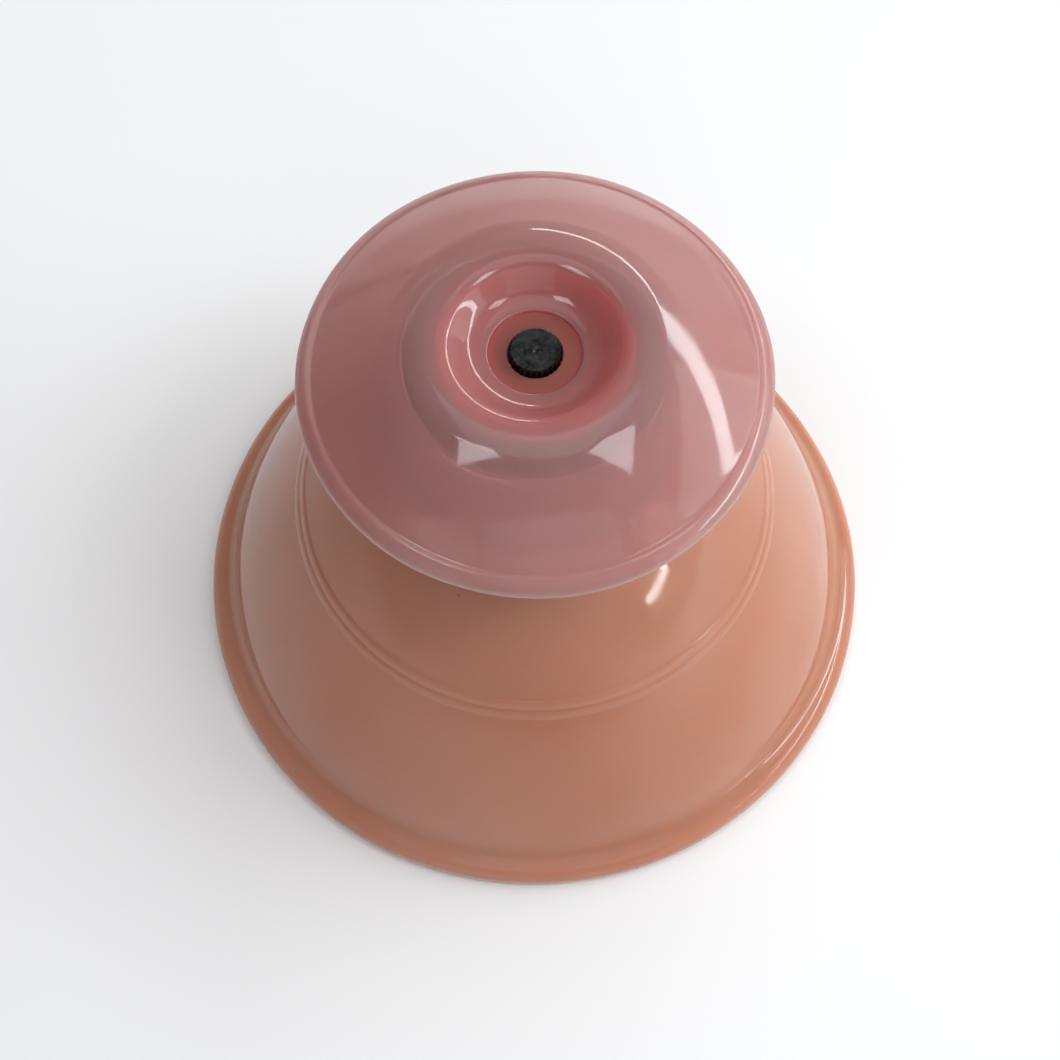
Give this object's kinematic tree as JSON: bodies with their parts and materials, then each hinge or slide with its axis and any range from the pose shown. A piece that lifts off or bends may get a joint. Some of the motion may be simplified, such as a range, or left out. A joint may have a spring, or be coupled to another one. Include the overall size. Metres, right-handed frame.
{
  "type": "silicone cupping cup",
  "caption": "Hand-squeezed silicone cupping cup: translucent bell, flanged finger grip with a dished knob, and a steel pin through its axis.",
  "frame": {"origin": "centre of the mouth, on the plane that the rim rests on", "axes": "+Z along the cup's axis, from the mouth to the knob; the cup is round, so X and Y are free"},
  "size_m": [0.07, 0.07, 0.0526],
  "materials": {
    "silicone_peach": "glossy translucent moulded silicone",
    "silicone_pink": "glossy, more transparent moulded silicone",
    "silicone_rose": "glossy deep rose silicone",
    "turned_steel": "turned, knurled edge",
    "nickel_plate": "polished nickel",
    "seal_rubber": "matte silicone rubber"
  },
  "bodies": {
    "bell": {"suction_bell": "silicone_peach"},
    "grip": {"finger_grip": "silicone_pink", "rose_disc": "silicone_rose", "center_pin": "turned_steel", "ring_magnet": "nickel_plate", "magnet_keeper": "turned_steel", "roof_seal": "seal_rubber", "clamp_washer": "turned_steel", "lock_nut": "turned_steel", "contact_tip": "nickel_plate"}
  },
  "joints": [
    {"name": "press", "type": "slide", "parent": "bell", "child": "grip", "axis": [0, 0, -1], "range_m": [0, 0.012], "stiffness_N_per_m": 1500, "deforming": ["suction_bell"]}
  ]
}
